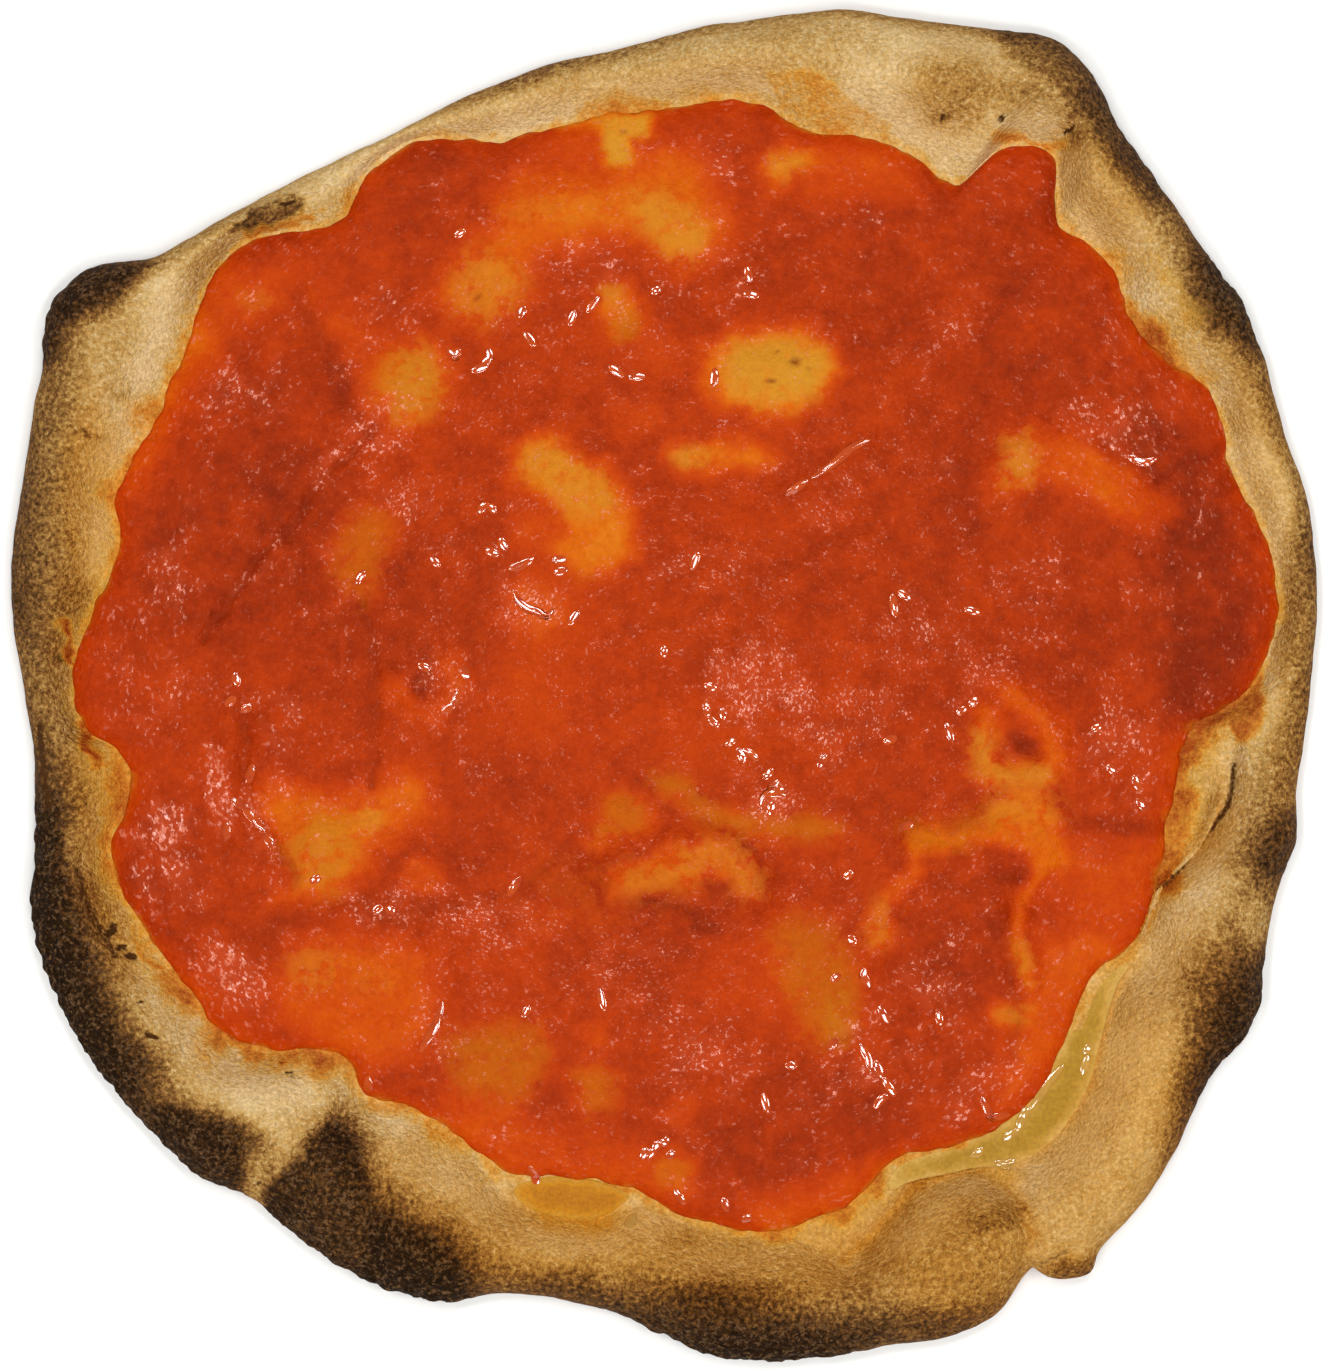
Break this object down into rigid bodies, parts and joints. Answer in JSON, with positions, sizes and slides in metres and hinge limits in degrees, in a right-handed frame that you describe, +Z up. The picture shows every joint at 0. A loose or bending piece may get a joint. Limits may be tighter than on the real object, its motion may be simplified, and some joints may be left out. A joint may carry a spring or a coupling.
{
  "type": "tomato pizza",
  "caption": "Hand-stretched round wheat pizza with a puffed, scorched rim, tomato sauce to the rim and pools of olive oil.",
  "frame": {"origin": "on the table, under the middle of the pizza's box", "axes": "+Z up from the table through the pizza, +Y towards the picture's top edge, +X towards its right edge"},
  "size_m": [0.3139, 0.3241, 0.0213],
  "materials": {
    "baked_dough": "baked wheat dough: matte and floury on top, toasted brown and scorched near black round the outer edge",
    "tomato_sauce": "cooked tomato sauce: wet, oily sheen, pulpy, orange where it lies thin over bubbles in the dough",
    "olive_oil": "olive oil lying on the dough: clear olive yellow, wet gloss"
  },
  "bodies": {
    "root": {"crust": "baked_dough", "tomato_sauce": "tomato_sauce", "olive_oil_right": "olive_oil", "olive_oil_bottom": "olive_oil"}
  },
  "joints": []
}
